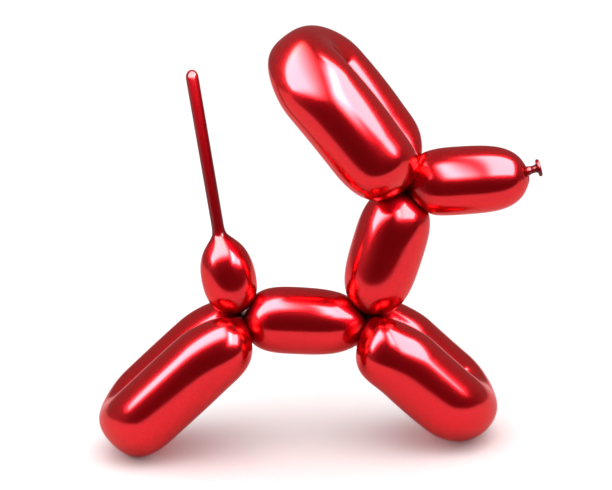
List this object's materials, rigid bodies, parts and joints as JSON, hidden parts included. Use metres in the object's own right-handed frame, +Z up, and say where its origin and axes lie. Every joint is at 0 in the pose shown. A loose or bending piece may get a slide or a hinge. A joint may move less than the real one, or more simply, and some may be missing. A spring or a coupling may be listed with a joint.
{
  "type": "balloon poodle",
  "caption": "Standing poodle twisted from a long red pearl balloon, with folded ears and legs, a tied nose and a limp upright tail.",
  "frame": {"origin": "on the surface the poodle stands on, below the middle of its box", "axes": "+X towards the nose, +Y towards the poodle's left side, +Z up"},
  "size_m": [0.3369, 0.1038, 0.3182],
  "materials": {
    "red_pearl_latex": "smooth stretched latex with a fine metallic pearl and a wet gloss"
  },
  "bodies": {
    "root": {"balloon": "red_pearl_latex"}
  },
  "joints": []
}
